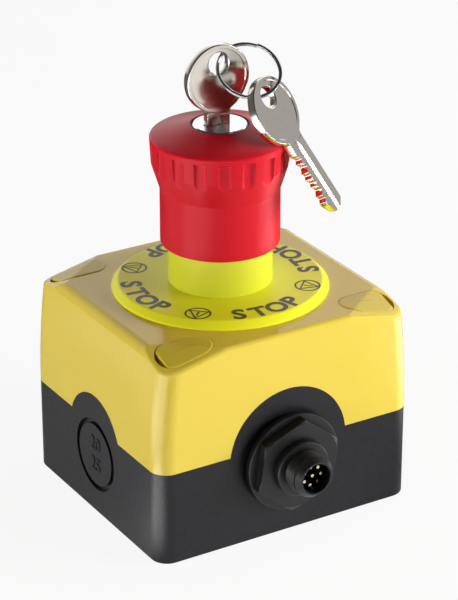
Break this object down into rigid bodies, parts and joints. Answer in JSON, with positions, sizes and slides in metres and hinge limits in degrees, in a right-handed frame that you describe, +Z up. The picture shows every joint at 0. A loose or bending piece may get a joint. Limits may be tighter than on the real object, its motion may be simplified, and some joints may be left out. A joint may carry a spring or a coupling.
{
  "type": "emergency_stop_button",
  "caption": "Key-release emergency stop: red mushroom head on a yellow and black surface enclosure with a round plug connector, key in the lock and spare key on a split ring",
  "frame": {"origin": "centre of the enclosure's underside, on the button's axis", "axes": "+Z up along the button's axis, -Y the side of the plug connector, X along the long side"},
  "size_m": [0.0804, 0.0857, 0.1302],
  "materials": {
    "yellow_plastic": "moulded, fine grain",
    "lemon_plastic": "moulded, satin",
    "red_plastic": "moulded, satin",
    "black_plastic": "moulded, fine grain",
    "grey_plastic": "moulded",
    "seal_rubber": "moulded",
    "nickel_silver": "tumbled",
    "chrome_face": "polished",
    "zinc": "die cast",
    "spring_steel": "drawn wire",
    "plated_steel": "zinc plated",
    "contact_brass": "stamped",
    "lead_jacket": "extruded"
  },
  "bodies": {
    "enclosure": {"enclosure_base": "black_plastic", "enclosure_cover": "yellow_plastic", "cover_gasket": "seal_rubber", "cover_caps": "yellow_plastic", "cover_screws": "plated_steel", "legend_plate": "lemon_plastic", "collar": "lemon_plastic", "front_seal": "seal_rubber", "bushing": "black_plastic", "ring_nut": "black_plastic", "return_spring": "spring_steel", "contact_carrier": "grey_plastic", "terminal_screws": "plated_steel", "connector_body": "black_plastic", "connector_seal": "seal_rubber", "connector_nut": "black_plastic", "connector_insert": "black_plastic", "connector_pins": "contact_brass", "leads": "lead_jacket", "contact_housing_left": "grey_plastic", "contact_spring_left": "spring_steel", "fixed_contacts_left": "contact_brass", "contact_housing_centre": "grey_plastic", "contact_spring_centre": "spring_steel", "fixed_contacts_centre": "contact_brass", "contact_housing_right": "grey_plastic", "contact_spring_right": "spring_steel", "fixed_contacts_right": "contact_brass"},
    "button": {"mushroom_head": "red_plastic", "lock_barrel": "chrome_face", "lock_seal": "seal_rubber", "lock_nut": "zinc", "stem": "black_plastic", "latch_pawls": "zinc", "pusher_plate": "grey_plastic"},
    "lock_core": {"lock_core": "chrome_face", "release_cam": "zinc"},
    "key": {"key": "nickel_silver"},
    "split_ring": {"split_ring": "plated_steel"},
    "spare_key": {"spare_key": "nickel_silver"},
    "contact_left": {"contact_plunger_left": "red_plastic", "contact_bridge_left": "contact_brass"},
    "contact_centre": {"contact_plunger_centre": "red_plastic", "contact_bridge_centre": "contact_brass"},
    "contact_right": {"contact_plunger_right": "red_plastic", "contact_bridge_right": "contact_brass"}
  },
  "joints": [
    {"name": "button_press", "type": "slide", "parent": "enclosure", "child": "button", "axis": [0, 0, -1], "range_m": [0, 0.0045], "stiffness_N_per_m": 3000, "springref_m": -0.006, "deforming": ["return_spring"]},
    {"name": "key_turn", "type": "hinge", "parent": "button", "child": "lock_core", "pos_m": [0, 0, 0.1076], "axis": [0, 0, 1], "range_deg": [-60, 0]},
    {"name": "key_draw", "type": "slide", "parent": "lock_core", "child": "key", "axis": [0, 0, 1], "range_m": [0, 0.02]},
    {"name": "ring_swing", "type": "hinge", "parent": "key", "child": "split_ring", "pos_m": [-0.00067, 0, 0.12442], "axis": [-0.5251, -0.6214, -0.5815], "range_deg": [0, 40]},
    {"name": "spare_swing", "type": "hinge", "parent": "split_ring", "child": "spare_key", "pos_m": [0.0069, -0.01108, 0.11756], "axis": [0.985, -0.0521, 0.1648], "range_deg": [-25, 0]},
    {"name": "contact_left_travel", "type": "slide", "parent": "enclosure", "child": "contact_left", "axis": [0, 0, -1], "range_m": [0, 0.0045], "deforming": ["contact_spring_left"]},
    {"name": "contact_centre_travel", "type": "slide", "parent": "enclosure", "child": "contact_centre", "axis": [0, 0, -1], "range_m": [0, 0.0045], "deforming": ["contact_spring_centre"]},
    {"name": "contact_right_travel", "type": "slide", "parent": "enclosure", "child": "contact_right", "axis": [0, 0, -1], "range_m": [0, 0.0045], "deforming": ["contact_spring_right"]}
  ],
  "couplings": [
    {"joint": "contact_left_travel", "follows": "button_press", "ratio": 1},
    {"joint": "contact_centre_travel", "follows": "button_press", "ratio": 1},
    {"joint": "contact_right_travel", "follows": "button_press", "ratio": 1}
  ]
}
